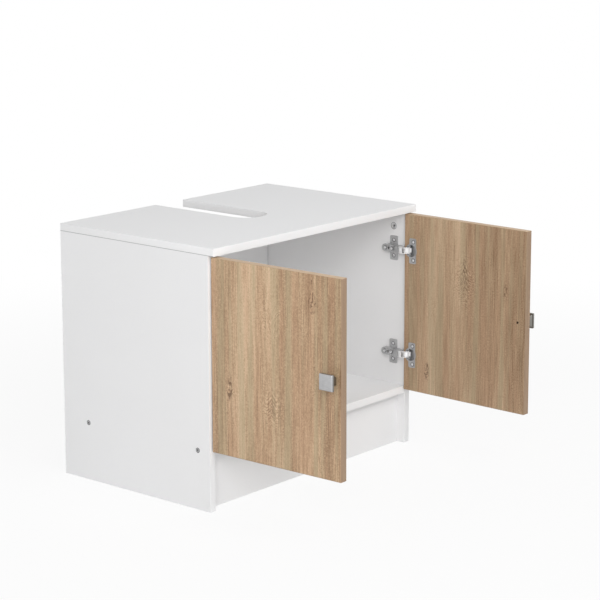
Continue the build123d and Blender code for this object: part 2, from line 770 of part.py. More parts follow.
def write_parts():
    """Shifts the nodes to the row's origin, writes one STEP file each and prints the pivots."""
    nodes = assemble()
    boxes = [solid.bounding_box() for solids in nodes.values() for solid in solids]
    front = min(box.min.Y for box in boxes)
    back = max(box.max.Y for box in boxes)
    shift = -(front + back) / 2
    os.makedirs("parts", exist_ok=True)
    for name, solids in nodes.items():
        moved = [solid.moved(Location((0, shift, 0))) for solid in solids]
        shape = moved[0] if len(moved) == 1 else Compound(children=moved)
        export_step(shape, os.path.join("parts", name + ".step"))
    print("nodes", len(nodes), "shift along Y %.3f" % shift, "front %.3f" % front, "back %.3f" % back)
    for name, point in (("outer arm", outer_a), ("inner arm", inner_a), ("outer cup", outer_b)):
        print("left %s pivot at rest: X %.4f Y %.4f" % (name, point[0], point[1] + shift))
    print("door: width %.3f, from %.2f to %.2f" % (door_width, door_low, door_high), hinge_levels)


write_parts()
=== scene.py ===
import json
import math

import bmesh
import bpy
import numpy as np
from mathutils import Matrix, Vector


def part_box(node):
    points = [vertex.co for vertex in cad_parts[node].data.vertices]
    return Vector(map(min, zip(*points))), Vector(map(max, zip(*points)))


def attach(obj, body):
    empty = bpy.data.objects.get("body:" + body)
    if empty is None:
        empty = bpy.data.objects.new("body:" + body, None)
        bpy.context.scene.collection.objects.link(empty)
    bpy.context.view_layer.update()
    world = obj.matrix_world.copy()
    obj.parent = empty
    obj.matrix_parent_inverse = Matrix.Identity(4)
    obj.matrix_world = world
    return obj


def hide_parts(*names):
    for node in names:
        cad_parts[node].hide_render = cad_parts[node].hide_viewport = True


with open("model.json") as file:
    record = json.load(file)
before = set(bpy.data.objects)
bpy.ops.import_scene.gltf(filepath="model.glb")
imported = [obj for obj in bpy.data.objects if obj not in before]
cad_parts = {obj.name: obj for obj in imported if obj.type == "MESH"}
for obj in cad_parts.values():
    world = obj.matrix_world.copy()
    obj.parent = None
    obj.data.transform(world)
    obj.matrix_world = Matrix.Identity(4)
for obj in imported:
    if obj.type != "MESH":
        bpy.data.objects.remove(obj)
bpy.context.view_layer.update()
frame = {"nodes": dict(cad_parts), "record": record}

bl_info = {
    "name": "Sink base cabinet",
    "version": (1, 0, 0),
    "blender": (4, 5, 0),
    "location": "3D View > Sidebar > Cabinet",
    "description": "Finishes a sink base cabinet with oak doors, and sets its stage",
    "category": "Add Mesh",
}

SIDES = ("left", "right")
LEVELS = ("upper", "lower")
BOARDS = ("top_panel", "left_side_panel", "right_side_panel", "bottom_panel", "plinth_panel", "back_rail")
HINGE_PARTS = ("mounting_plate", "hinge_arm", "outer_link", "inner_link", "hinge_cup")
MM = 0.001
BOARD_THICKNESS = 15 * MM
BOARD_CORNER = 0.6 * MM
DOOR_CORNER = 0.8 * MM
# The cut-out in the top panel: half its width, how far it reaches from the back edge, and
# the radius of its inner corners.
CUTOUT_HALF, CUTOUT_REACH, CUTOUT_BEND = 40.25 * MM, 250 * MM, 38 * MM
DOOR_ANGLE = math.radians(88.9)
KNOB_INSET = 18.8 * MM
HINGE_MIDDLE = 299.2 * MM
HINGE_SPREAD = 108.2 * MM
RAIL_END = 287.5 * MM
SIDE_FACE = 302.5 * MM
SIDE_TOP = 485.0 * MM
# Where the screws of the hinges stand: their middle from front to back, and how far from
# it they stand to the front and back, and up and down.
SCREW_PLACES = {
    "plate": (-12.64 * MM, 0.0, 16.0 * MM),
    "cup": (-66.63 * MM, 0.0, 19.0 * MM),
    "arm": (-5.84 * MM, 8.2 * MM, 0.0),
}
# Where the cam locks and the connecting screws stand: the middle of each pair from front to
# back, how far they stand from it, and their height.
CAM_PLACES = (151.365 * MM, 162.005 * MM, 452.5 * MM)
JOINT_PLACES = (133.0 * MM, 144.4 * MM, 114.5 * MM)
# Each soft lamp: its name, its place, its side and the setting that holds its power.
LAMPS = (
    ("corner_lamp", (-3.5, -3.35, 2.3), 2.8, "corner_power"),
    ("front_lamp", (-0.3, -2.6, 3.0), 2.2, "front_power"),
    ("left_lamp", (-3.4, 0.2, 1.6), 2.2, "side_power"),
    ("right_lamp", (3.3, 0.2, 1.5), 2.2, "side_power"),
    ("back_lamp", (0.3, 3.3, 1.5), 2.2, "side_power"),
)
LAMP_TARGET = (0.0, 0.0, 0.25)
CAMERA_PLACE = (-3.00423, -2.54941, 1.23176)
# The camera's angles in degrees, and the shift of its lens to the side and up.
CAMERA_DOWN, CAMERA_TURN = 11.02, -50.25
LENS_SHIFT = (-0.031, -0.1)
FLOOR_REACH = 9.0
FLOOR_DROP = 0.3 * MM
WHITE = (1.0, 1.0, 1.0)
BLACK = (0.0, 0.0, 0.0)
SHADOW = (0.02, 0.02, 0.02)
# Painted shadow for the thin dark lines in the joints between boards.
SEAM_SHADOW = (0.08, 0.08, 0.085)
# Painted shade in and round the hole of a knob's screw.
HOLE_SHADOW = (0.01, 0.008, 0.006)
RUBBED_SHADE = (0.2, 0.2, 0.2)


# ------------------------------------------------------------------ settings
def length(name, description, value):
    """A length in metres that the panel shows in the scene's unit."""
    return bpy.props.FloatProperty(name=name, description=description, default=value, min=0.0,
                                   unit="LENGTH", precision=5)


def share(name, description, value, top=1.0):
    """A plain number from 0 to top."""
    return bpy.props.FloatProperty(name=name, description=description, default=value, min=0.0, max=top)


def colour(name, description, value):
    """A colour in linear red, green and blue."""
    return bpy.props.FloatVectorProperty(name=name, description=description, default=value,
                                         subtype="COLOR", size=3, min=0.0, max=1.0)


class BoardSettings(bpy.types.PropertyGroup):
    """White boards and their edging."""
    face: colour("Face", "Melamine face of the boards", (0.855, 0.855, 0.86))
    edging: colour("Edging", "Plastic edging of the boards", (0.87, 0.87, 0.875))
    pebble: length("Pebble", "Size of the bumps of the melamine's texture", 0.0011)
    pebble_height: length("Pebble height", "Height of these bumps", 0.00003)
    roughness: share("Roughness", "Roughness of the melamine", 0.46)
    gloss: share("Gloss", "Strength of the melamine's reflections", 0.18)
    edging_thickness: length("Edging thickness", "How far the edging reaches into the board", 0.0009)
    edging_lift: length("Edging lift", "How far the edging stands proud of the board", 0.00002)
    edging_radius: length("Edging radius", "Rounding of the edging", 0.0005)


class OakSettings(bpy.types.PropertyGroup):
    """Oak decor of the doors."""
    pale: colour("Pale", "Pale early wood", (0.69, 0.505, 0.330))
    mid: colour("Middle", "Middle tone", (0.470, 0.314, 0.188))
    dark: colour("Dark", "Dark late wood", (0.265, 0.158, 0.084))
    grey: colour("Grey", "Greenish-grey bands", (0.450, 0.362, 0.222))
    warm: colour("Warm", "Pinkish bands", (0.52, 0.300, 0.180))
    pore: colour("Pore", "Pores, cracks and knots", (0.165, 0.092, 0.047))
    edging: colour("Edging", "Plain tone that calms the edging", (0.275, 0.190, 0.126))
    # Painted light: the doors' top edges face up to the lamps and are coloured lighter.
    top_edge_light: colour("Top edging", "Lighter tone of the doors' top edges", (0.58, 0.425, 0.28))
    # Painted shade: the share of light left on a door's inner face, which is coloured darker than its
    # outer face.
    inner_light_left: share("Inner tone", "Tone of a door's inner face beside its outer one", 0.87)
    band: length("Band", "Width of the broad bands of tone", 0.042)
    streak: length("Streak", "Width of the streaks", 0.0050)
    pore_width: length("Pore width", "Width of the pores", 0.0008)
    roughness: share("Roughness", "Roughness of the decor", 0.52)


class MetalSettings(bpy.types.PropertyGroup):
    """Hinges, fittings and knobs."""
    nickel: colour("Nickel", "Nickel plate of the hinges", (0.52, 0.52, 0.525))
    # Painted highlight: the links are coloured near white in place of their bright reflection.
    bright: colour("Bright link", "Bright plate of the links", (0.96, 0.96, 0.965))
    zinc: colour("Zinc", "Zinc plate of the screws", (0.92, 0.92, 0.93))
    dull: colour("Dull steel", "Connecting screws through the side panels", (0.52, 0.52, 0.525))
    casting: colour("Casting", "Die-cast zinc of the cam locks", (0.68, 0.68, 0.685))
    knob_face: colour("Knob face", "Satin metal of the knobs' faces", (0.50, 0.50, 0.505))
    # Painted shade: the colour of the knob's sides, neck and foot behind its face.
    knob_painted_shade: colour("Knob back", "Satin metal behind the knobs' faces", (0.24, 0.23, 0.21))
    # Painted shade: the knob screws sit deep in their holes, so they are coloured near black.
    knob_screw: colour("Knob screw", "Blackened knob screws", (0.02, 0.02, 0.02))
    beech: colour("Beech", "Wood of the dowels", (0.54, 0.36, 0.19))
    softening: length("Softening", "Rounding of the pressed parts' edges", 0.00018)
    knob_size: length("Knob size", "Side of the knob's square plate", 0.030)
    knob_reach: length("Knob reach", "Knob face from the door", 0.022)


class StageSettings(bpy.types.PropertyGroup):
    """Floor, light and camera."""
    floor: colour("Floor", "Floor under the cabinet", (0.80, 0.80, 0.80))
    floor_white: share("Floor white", "How much of the floor near the cabinet shows as plain white", 0.90)
    ambient: share("Ambient", "Light from all round", 0.30, 5.0)
    corner_power: share("Corner lamp", "Power of the soft lamp at the front left, in watts", 132.0, 2000.0)
    front_power: share("Front lamp", "Power of the soft lamp high in front, in watts", 56.0, 2000.0)
    side_power: share("Side lamps", "Power of the soft lamps at the left, right and back, in watts",
                      15.0, 2000.0)
    focal: bpy.props.FloatProperty(name="Focal length", description="Camera lens in millimetres",
                                   default=124.62)


# ------------------------------------------------------------------ shader maths
class Value:
    """A number that varies over a surface. Python's operators on it add Math nodes."""

    def __init__(self, graph, socket):
        self.graph = graph
        self.socket = socket

    def math(self, operation, *others):
        node = self.graph.add("ShaderNodeMath", {"operation": operation}, [self, *others])
        return Value(self.graph, node.outputs[0])

    def __add__(self, other):
        return self.math("ADD", other)

    __radd__ = __add__

    def __sub__(self, other):
        return self.math("SUBTRACT", other)

    def __rsub__(self, other):
        node = self.graph.add("ShaderNodeMath", {"operation": "SUBTRACT"}, [other, self])
        return Value(self.graph, node.outputs[0])

    def __mul__(self, other):
        return self.math("MULTIPLY", other)

    __rmul__ = __mul__

    def __truediv__(self, other):
        return self.math("DIVIDE", other)

    def __pow__(self, other):
        return self.math("POWER", other)

    def __neg__(self):
        return self * -1.0

    def size(self):
        return self.math("ABSOLUTE")

    def bell(self):
        """exp(-x), for a soft hump."""
        return (-self).math("EXPONENT")

    def step(self, low, high):
        """0 below low, 1 above high, and smooth between them."""
        node = self.graph.add("ShaderNodeMapRange", {"interpolation_type": "SMOOTHSTEP"},
                              {"Value": self, "From Min": low, "From Max": high})
        return Value(self.graph, node.outputs[0])


class Graph:
    """A node tree with one way to add a node."""

    def __init__(self, tree):
        self.tree = tree
        tree.nodes.clear()

    def add(self, kind, settings=None, sockets=None):
        """Adds a node: its type, its settings, then the values or links of its sockets."""
        node = self.tree.nodes.new(kind)
        for name, value in (settings or {}).items():
            if name == "stops":
                self.place_stops(node.color_ramp, value)
            else:
                setattr(node, name, value)
        pairs = sockets.items() if isinstance(sockets, dict) else enumerate(sockets or [])
        for key, value in pairs:
            self.feed(node.inputs[key], value)
        return node

    def place_stops(self, ramp, stops):
        """Fills a colour ramp with (position, colour) stops."""
        while len(ramp.elements) < len(stops):
            ramp.elements.new(0.5)
        for element, (position, shade) in zip(ramp.elements, stops):
            element.position = position
            element.color = opaque(shade)

    def feed(self, socket, value):
        if isinstance(value, Value):
            value = value.socket
        if isinstance(value, bpy.types.NodeSocket):
            self.tree.links.new(value, socket)
        else:
            socket.default_value = value

    def place(self):
        """The object coordinates as three values, in metres."""
        coordinates = self.add("ShaderNodeTexCoord")
        split = self.add("ShaderNodeSeparateXYZ", None, [coordinates.outputs["Object"]])
        return [Value(self, output) for output in split.outputs]

    def vector(self, x, y, z):
        return self.add("ShaderNodeCombineXYZ", None, [x, y, z]).outputs[0]

    def noise(self, vector, scale=1.0, detail=2.0, roughness=0.5, distortion=0.0):
        node = self.add("ShaderNodeTexNoise", None,
                        {"Vector": vector, "Scale": scale, "Detail": detail,
                         "Roughness": roughness, "Distortion": distortion})
        return Value(self, node.outputs[0])

    def mix(self, amount, low, high):
        """One colour over another."""
        node = self.add("ShaderNodeMix", {"data_type": "RGBA"}, {0: amount})
        for socket, value in ((node.inputs[6], low), (node.inputs[7], high)):
            self.feed(socket, value if isinstance(value, bpy.types.NodeSocket) else opaque(value))
        return node.outputs[2]

    def bump(self, height, distance, strength=1.0):
        node = self.add("ShaderNodeBump", None,
                        {"Height": height, "Distance": distance, "Strength": strength})
        return node.outputs[0]

    def finish(self, **sockets):
        """The shader and the output: Principled BSDF inputs by name, with _ for a space."""
        named = {name.replace("_", " "): value for name, value in sockets.items()}
        shader = self.add("ShaderNodeBsdfPrincipled", None, named)
        self.add("ShaderNodeOutputMaterial", None, [shader.outputs[0]])


def new_material(name):
    """An empty material and its graph."""
    material = bpy.data.materials.new(name)
    material.use_nodes = True
    return material, Graph(material.node_tree)


def opaque(shade):
    return (*shade, 1.0)


def dimmed(shade, share_left):
    """A colour with a share of its light left."""
    return tuple(share_left * c for c in shade)


# ------------------------------------------------------------------ materials
def folded(value, middle, *spreads):
    """The distance to the nearest of points that stand in mirrored pairs round a middle."""
    value = (value - middle).size()
    for spread in spreads:
        value = (value - spread).size()
    return value


def rail_seam_shadow(x, z):
    """A painted shadow line at both ends of a board that stands between the side panels."""
    return (x.size() - RAIL_END).step(-1.7 * MM, -1.2 * MM)


def top_seam_shadow(x, z):
    """A painted shadow line along the outer sides, where the top panel lies on the side panels."""
    outer = (x.size() - SIDE_FACE).step(-0.6 * MM, -0.2 * MM)
    return outer * (z - SIDE_TOP).step(1.5 * MM, 1.1 * MM)


def melamine(name, shade, settings, pebbled=True, seam_shadow=None):
    """White melamine with fine pebbles and a sheen that wanders slowly, or smoother edging.

    The seam shadow takes the places from side to side and up, and gives 1 on the painted shadow line of a
    joint.
    """
    material, graph = new_material(name)
    x, y, z = graph.place()
    here = graph.vector(x, y, z)
    cloud = graph.noise(here, 5.0, 3.0)
    speck = graph.noise(here, 260.0, 2.0)
    tone = (cloud - 0.5) * 0.7 + (speck - 0.5) * 0.5 + 0.5
    if pebbled:
        pebbles, strength = graph.noise(here, 1.0 / settings.pebble, 1.5, 0.55), 0.55
        roughness = settings.roughness
    else:
        pebbles, strength = graph.noise(here, 0.35 / settings.pebble, 1.0, 0.4), 0.25
        roughness = settings.roughness - 0.08
    painted = graph.mix(tone, dimmed(shade, 0.965), shade)
    if seam_shadow:
        # Painted shadow: a dark line where this board meets the next.
        painted = graph.mix(seam_shadow(x, z) * 0.5, painted, SEAM_SHADOW)
    graph.finish(
        Base_Color=painted,
        Roughness=(cloud - 0.5) * 0.10 + roughness,
        Specular_IOR_Level=settings.gloss,
        Normal=graph.bump(pebbles, settings.pebble_height, strength),
    )
    return material


def inner_half(depth):
    """1 in the inner half of a door's thickness and 0 in its outer half."""
    return (BOARD_THICKNESS / 2 - depth).step(-1.0 * MM, 1.0 * MM)


def grain(graph, along, depth, height, settings, figures=()):
    """Rough-sawn oak on a surface with the grain lines running up it.

    along is the place across the grain lines, depth the place into the board and height the
    place up the lines. Each figure is (along, height, half width, half height, part, slope,
    ribs, tear, facing). Round its centre the lines part like water round a stone, by part.
    Nested arches of short dashes cross them, as height + slope * |across| stays level along
    an arch. tear adds short dark cracks up the grain. facing is 1 for the door's outer face
    and -1 for its inner one.

    Returns the colour, and the height for a bump.
    """
    wander = graph.noise(graph.vector(along * 7.0, depth * 5.0, height * 2.4), 1.0, 2.0)
    ripple = graph.noise(graph.vector(along * 60.0, depth * 20.0, height * 22.0), 1.0, 2.0)
    line = along + (wander - 0.5) * 0.008 + (ripple - 0.5) * 0.0012
    inner = inner_half(depth)
    arch = height
    ribbed = torn = along * 0.0
    for centre, level, wide, tall, part, slope, ribs, tear, facing in figures:
        off = along - centre
        across, up = off / wide, (height - level) / tall
        hump = (across * across + up * up).bell() * (inner if facing < 0 else 1.0 - inner)
        line = line - hump * across * part
        arch = arch + hump * off.size() * slope
        ribbed = ribbed + hump * ribs
        torn = torn + hump * tear

    def lines(width, stretch, detail, roughness, shift=0.0):
        """Noise drawn out up the grain, with lines of the given width."""
        place = graph.vector(line / width + shift, depth * 12.0, height / (width * stretch))
        return graph.noise(place, 1.0, detail, roughness) - 0.5

    # Lines up the grain, from broad bands of tone and hue down to single fibres.
    bands = lines(settings.band, 20.0, 1.0, 0.4)
    hues = lines(settings.band * 0.38, 30.0, 2.0, 0.6, 7.3)
    streaks = lines(settings.streak, 34.0, 2.0, 0.62, 3.1)
    fibres = lines(settings.streak * 0.40, 44.0, 2.0, 0.6, 5.7)
    crisp = lines(settings.streak * 0.20, 50.0, 1.0, 0.5, 1.9)
    # Short pores that come in patches, nicks across the grain where the saw left them, and
    # the decor's own fine crumbs.
    patches = graph.noise(graph.vector(along * 55.0, depth * 30.0, height * 26.0), 1.0, 2.0)
    dashes = graph.noise(
        graph.vector(line / settings.pore_width, depth * 400.0, height * 115.0), 1.0, 1.0)
    pores = dashes.step(0.54, 0.74) * patches.step(0.36, 0.62)
    nicks = graph.noise(graph.vector(along * 210.0, depth * 200.0, height * 620.0), 1.0, 1.0)
    sawn = graph.noise(graph.vector(along * 75.0 + 4.0, depth * 30.0, height * 18.0), 1.0, 2.0)
    marks = (nicks - 0.5) * sawn.step(0.52, 0.66)
    crumbs = graph.noise(graph.vector(along * 480.0, depth * 300.0, height * 330.0), 1.0, 2.0, 0.7)

    tone = bands * 1.35 + streaks * 0.80 + fibres * 1.0 + crisp * 0.9 + 0.47
    tone = tone + marks * 1.2 + (crumbs - 0.5) * 1.2
    dark = pores * 0.34
    relief = fibres * 0.5 + (crumbs - 0.5) * 0.5 - pores * 0.8 + marks * 0.6
    if figures:
        ribs = graph.noise(graph.vector(line * 190.0, depth * 300.0, arch * 430.0), 1.0, 1.0) - 0.5
        scraps = graph.noise(
            graph.vector(line * 480.0, depth * 300.0, height * 150.0), 1.0, 2.0, 0.6)
        cracks = scraps.step(0.46, 0.57) * torn.step(0.12, 0.55)
        tone = tone + ribs * ribbed * 3.6
        dark = dark.math("MAXIMUM", cracks * 0.9)
        relief = relief + ribs * ribbed - cracks
    ramp = graph.add("ShaderNodeValToRGB", {
        "stops": ((0.0, settings.dark), (0.44, settings.mid), (1.0, settings.pale)),
    }, {"Fac": tone})
    shade = graph.mix(hues.step(-0.02, 0.16) * 0.5, ramp.outputs[0], tuple(settings.grey))
    shade = graph.mix(hues.step(0.02, -0.16) * 0.28, shade, tuple(settings.warm))
    shade = graph.mix(dark, shade, tuple(settings.pore))
    return shade, relief


def door_place(graph, side):
    """Place along the open door from its hinge edge, into its thickness and up it."""
    corner, along, outward = door_frame(side)[:3]
    x, y, z = graph.place()
    dx, dy = x - corner[0], y - corner[1]
    return dx * along[0] + dy * along[1], dx * outward[0] + dy * outward[1], z


def oak_face(side, settings, figures):
    """Oak decor on both faces of a door, with painted shade that darkens the inner face, and painted shade
    in and round the hole of the knob's screw.
    """
    material, graph = new_material(side + "_door_oak")
    along, outward, height = door_place(graph, side)
    shade, relief = grain(graph, along, outward, height, settings, figures)
    # Painted shade that darkens the door's inner face.
    shade = graph.mix(inner_half(outward) * (1.0 - settings.inner_light_left), shade, BLACK)
    # Painted shade in and just round the hole of the knob's screw, which sits deep.
    across, up = along - (door_frame(side)[3] - KNOB_INSET), height - HINGE_MIDDLE
    hole = (across * across + up * up).step((2.9 * MM) ** 2, (2.3 * MM) ** 2)
    shade = graph.mix(hole, shade, HOLE_SHADOW)
    sheen = graph.noise(graph.vector(along * 30.0, outward * 30.0, height * 4.0), 1.0, 2.0)
    graph.finish(
        Base_Color=shade,
        Roughness=(sheen - 0.5) * 0.14 + settings.roughness,
        Normal=graph.bump(relief, 0.00006, 0.5),
    )
    return material


def oak_edging(settings):
    """Oak edging with the grain along it, read from the strip's own map in metres, with painted light on
    the doors' top edges.
    """
    material, graph = new_material("oak_edging")
    map_node = graph.add("ShaderNodeUVMap", {"uv_map": "strip"})
    split = graph.add("ShaderNodeSeparateXYZ", None, [map_node.outputs[0]])
    round_board, over_edge = [Value(graph, output) for output in split.outputs[:2]]
    shade, relief = grain(graph, over_edge + 0.31, over_edge * 0.0, round_board, settings)
    height = graph.place()[2]
    # Painted light on the top edges, which face up.
    top = (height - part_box("left_door")[1].z).step(-0.8 * MM, -0.3 * MM)
    tone = graph.mix(top, tuple(settings.edging), tuple(settings.top_edge_light))
    graph.finish(
        Base_Color=graph.mix(0.7, shade, tone),
        Roughness=relief * 0.02 + settings.roughness,
        Normal=graph.bump(relief, 0.00004, 0.4),
    )
    return material


def distance(across, up):
    """The length of a plane vector, from its two parts."""
    return (across * across + up * up) ** 0.5


def screw_distance(graph, kind):
    """The distance from the axis of the nearest screw of the hinges' plates, cups or arms."""
    middle, spread, rise = SCREW_PLACES[kind]
    y, z = graph.place()[1:]
    return distance(folded(y, middle, spread), folded(z, HINGE_MIDDLE, HINGE_SPREAD, rise))


def shaded_ring(kind):
    """The shaded groove round the screws in a plate or a cup's flange."""
    def mark(graph):
        reach = screw_distance(graph, kind)
        return reach.step(2.7 * MM, 3.3 * MM) * (1.0 - reach.step(3.9 * MM, 4.9 * MM)) * 0.7
    return mark


def shaded_rim(kind):
    """The shaded rim of a screw's head."""
    def mark(graph):
        return screw_distance(graph, kind).step(2.1 * MM, 3.1 * MM) * 0.65
    return mark


def driver_face(places, rim, hole):
    """The shaded rim and the shaded driver hole of fittings, from each one's radii for them."""
    def mark(graph):
        middle, spread, level = places
        y, z = graph.place()[1:]
        reach = distance(folded(y, middle, spread), z - level)
        outer = reach.step(rim, rim + 1.1 * MM) * 0.55
        return outer.math("MAXIMUM", (1.0 - reach.step(hole, hole + 1.4 * MM)) * 0.95)
    return mark


def metal(name, shade, roughness, grain_height, metallic=1.0, mark=None):
    """Plated or cast metal: fine scratches, a sheen that wanders, and marks in shade."""
    material, graph = new_material(name)
    x, y, z = graph.place()
    fine = graph.noise(graph.vector(x, y, z), 2200.0, 2.0)
    cloud = graph.noise(graph.vector(x, y, z), 180.0, 3.0)
    tone = cloud.step(0.25, 0.75) * 0.6 + (fine - 0.5) * 0.4 + 0.3
    plated = graph.mix(tone, dimmed(shade, 0.86), shade)
    if mark:
        plated = graph.mix(mark(graph), plated, SHADOW)
    graph.finish(
        Base_Color=plated,
        Metallic=metallic,
        Roughness=(cloud - 0.5) * 0.14 + (fine - 0.5) * 0.10 + roughness,
        Normal=graph.bump(fine, grain_height, 0.5),
    )
    return material


def satin_knob(side, settings):
    """Satin metal with short brush lines: lighter on the knob's face, with painted shade on all of it
    behind the face.
    """
    material, graph = new_material(side + "_knob_satin")
    along, outward, height = door_place(graph, side)
    front = (outward - BOARD_THICKNESS - settings.knob_reach).step(-0.0032, -0.0012)
    brush = graph.noise(graph.vector(along * 260.0, outward * 260.0, height * 2600.0), 1.0, 2.0)
    cloud = graph.noise(graph.vector(along, outward, height), 120.0, 3.0)
    # Painted shade behind the knob's face.
    shade = graph.mix(front, tuple(settings.knob_painted_shade), tuple(settings.knob_face))
    rubbed = (brush - 0.5) * 0.5 + (cloud - 0.5) * 0.3 + 0.12
    graph.finish(
        Base_Color=graph.mix(rubbed, shade, RUBBED_SHADE),
        Metallic=1.0,
        Roughness=(cloud - 0.5) * 0.12 + (brush - 0.5) * 0.10 + 0.38,
        Normal=graph.bump(brush, 0.000015, 0.5),
    )
    return material


def beech(shade):
    """Plain beech with fine lines along the dowels."""
    material, graph = new_material("beech_dowel")
    x, y, z = graph.place()
    lines = graph.noise(graph.vector(x * 90.0, y * 900.0, z * 900.0), 1.0, 2.0)
    graph.finish(
        Base_Color=graph.mix(lines, dimmed(shade, 0.8), shade),
        Roughness=(lines - 0.5) * 0.1 + 0.6,
        Normal=graph.bump(lines, 0.00005, 0.4),
    )
    return material


def dress(obj, material):
    """Gives the whole object one material."""
    obj.data.materials.clear()
    obj.data.materials.append(material)


# ------------------------------------------------------------------ surfaces
def new_piece(name, points, faces, uv=None):
    """A mesh object from arrays of points and faces, smooth where its faces meet softly."""
    mesh = bpy.data.meshes.new(name)
    mesh.from_pydata(points, [], faces)
    if uv is not None:
        layer = mesh.uv_layers.new(name="strip")
        layer.data.foreach_set("uv", np.asarray(uv, dtype=np.float32).ravel())
    mesh.validate()
    mesh.shade_smooth()
    mesh.set_sharp_from_angle(angle=math.radians(32))
    obj = bpy.data.objects.new(name, mesh)
    bpy.context.scene.collection.objects.link(obj)
    return obj


def grid_faces(rows, columns, wrap_rows, wrap_columns):
    """Quads between the neighbouring points of a grid, as an array of point numbers."""
    row = np.arange(rows if wrap_rows else rows - 1)[:, None]
    column = np.arange(columns if wrap_columns else columns - 1)[None, :]
    below, beside = (row + 1) % rows, (column + 1) % columns
    corners = np.stack([row * columns + column, row * columns + beside,
                        below * columns + beside, below * columns + column], axis=-1)
    return corners.reshape(-1, 4)


def rounded_corners(corners, radii, steps=6):
    """A closed outline in a plane with each corner rounded by an arc.

    Each arc's points lie at centre + radius * (cos a, sin a), with a going evenly from the end
    of one side to the start of the next. Returns the points and their normals, which point
    to the right of the way round.
    """
    corners = np.asarray(corners, float)
    before = np.roll(corners, 1, axis=0)
    after = np.roll(corners, -1, axis=0)
    enter = (corners - before) / np.linalg.norm(corners - before, axis=1)[:, None]
    leave = (after - corners) / np.linalg.norm(after - corners, axis=1)[:, None]
    turn = np.arctan2(enter[:, 0] * leave[:, 1] - enter[:, 1] * leave[:, 0], (enter * leave).sum(1))
    radii = np.broadcast_to(np.asarray(radii, float), turn.shape)
    start = corners - enter * (radii * np.tan(np.abs(turn) / 2))[:, None]
    left = np.stack([-enter[:, 1], enter[:, 0]], axis=1)
    centre = start + left * (np.sign(turn) * radii)[:, None]
    part = np.linspace(0.0, 1.0, steps)[None, :]
    heading = np.arctan2(enter[:, 1], enter[:, 0])[:, None] + turn[:, None] * part
    normal = np.stack([np.sin(heading), -np.cos(heading)], axis=-1)
    points = centre[:, None, :] + normal * (np.sign(turn) * radii)[:, None, None]
    return points.reshape(-1, 2), normal.reshape(-1, 2)


def run_length(outline):
    """The distance run at each point of a closed outline, and the whole way round at the end."""
    sides = np.diff(np.vstack([outline, outline[:1]]), axis=0)
    return np.append(0.0, np.cumsum(np.linalg.norm(sides, axis=1)))


def edge_strip(name, corners, radii, origin, axes, thickness, settings):
    """Edging carried round a board's outline.

    The outline lies in the plane of the first two axes, anticlockwise, so that its normals
    point outwards. The profile is a rounded rectangle: it reaches into the board by the
    edging's thickness, and across the board along the third axis.
    """
    path, normal = rounded_corners(corners, radii)
    lift, deep, round_off = settings.edging_lift, settings.edging_thickness, settings.edging_radius
    half = thickness / 2 + lift
    profile, _ = rounded_corners(
        [(-deep, -half), (lift, -half), (lift, half), (-deep, half)],
        [deep / 5, round_off, round_off, deep / 5], 5,
    )
    axes = np.asarray(axes, float)
    flat = path[:, None, :] + normal[:, None, :] * profile[None, :, 0, None]
    points = np.asarray(origin, float) + flat @ axes[:2] + profile[None, :, 1, None] * axes[2]
    rows, columns = points.shape[:2]
    faces = grid_faces(rows, columns, True, True)
    run, girth = run_length(path), run_length(profile)
    row, column = np.meshgrid(np.arange(rows), np.arange(columns), indexing="ij")
    row, column = row.ravel(), column.ravel()
    uv = np.stack([
        np.stack([run[row], girth[column]], -1), np.stack([run[row], girth[column + 1]], -1),
        np.stack([run[row + 1], girth[column + 1]], -1), np.stack([run[row + 1], girth[column]], -1),
    ], axis=1)
    if np.linalg.det(axes) > 0:
        faces, uv = faces[:, ::-1], uv[:, ::-1]
    return new_piece(name, points.reshape(-1, 3).tolist(), faces.tolist(), uv.reshape(-1, 2))


def square_ring(half, radius, steps):
    """A rounded square with the given half side, as steps points to a corner."""
    corners = np.array([(1, 1), (-1, 1), (-1, -1), (1, -1)], float)
    angle = (np.arange(4)[:, None] * 90.0 + np.linspace(0.0, 90.0, steps)[None, :]) * math.pi / 180
    arc = np.stack([np.cos(angle), np.sin(angle)], axis=-1)
    return (corners[:, None, :] * (half - radius) + arc * radius).reshape(-1, 2)


